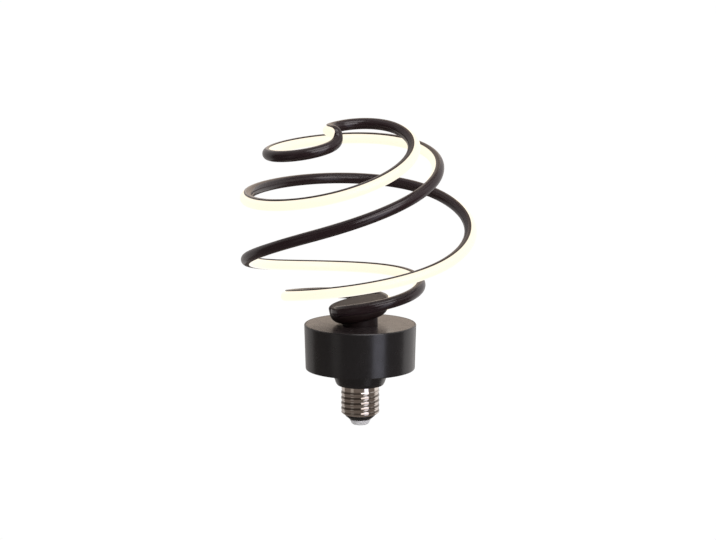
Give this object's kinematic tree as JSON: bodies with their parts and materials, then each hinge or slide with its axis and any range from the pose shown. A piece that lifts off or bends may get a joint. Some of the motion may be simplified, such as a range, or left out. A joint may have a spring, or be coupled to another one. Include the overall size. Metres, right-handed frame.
{
  "type": "spiral led lamp",
  "caption": "LED lamp with a black channel wound into an open leaning double spiral, a glowing opal strip along its side, a round driver housing and a screw cap.",
  "frame": {"origin": "on the lamp's axis where the screw shell's upper rim meets the underside of the neck", "axes": "+Z from the screw cap towards the spiral's crown, +X to the right in the picture, -Y towards the viewer"},
  "size_m": [0.1609, 0.1661, 0.2086],
  "materials": {
    "black_coating": "satin black coat on bent aluminium",
    "opal_silicone": "opal, lit from behind",
    "black_moulding": "satin black moulding",
    "nickel_plate": "nickel plate, bright",
    "black_insulator": "glossy black",
    "contact_metal": "dull tinned metal",
    "strip_board": "light-giving coat on a flexible board",
    "plug_rubber": "matt",
    "screw_steel": "zinc plated",
    "green_board": "solder resist",
    "ferrite": "matt grey black",
    "copper_winding": "lacquered copper",
    "capacitor_sleeve": "sleeved can",
    "chip_resin": "moulded resin",
    "resistor_coat": "cement coat",
    "bare_lead": "tinned",
    "brown_insulation": "smooth",
    "blue_insulation": "smooth",
    "white_insulation": "smooth"
  },
  "bodies": {
    "root": {"light_channel": "black_coating", "diffuser": "opal_silicone", "hub": "black_moulding", "top_cover": "black_moulding", "housing": "black_moulding", "screw_shell": "nickel_plate", "cap_insulator": "black_insulator", "centre_contact": "contact_metal", "led_strip": "strip_board", "end_plugs": "plug_rubber", "hub_screws": "screw_steel", "board_screws": "screw_steel", "driver_board": "green_board", "transformer_core": "ferrite", "filter_choke": "ferrite", "transformer_winding": "copper_winding", "input_capacitor": "capacitor_sleeve", "output_capacitor": "capacitor_sleeve", "rectifier": "chip_resin", "controller_chip": "chip_resin", "fuse_resistor": "resistor_coat", "contact_lead": "bare_lead", "live_wire": "brown_insulation", "neutral_wire": "blue_insulation", "strip_wires": "white_insulation"}
  },
  "joints": []
}
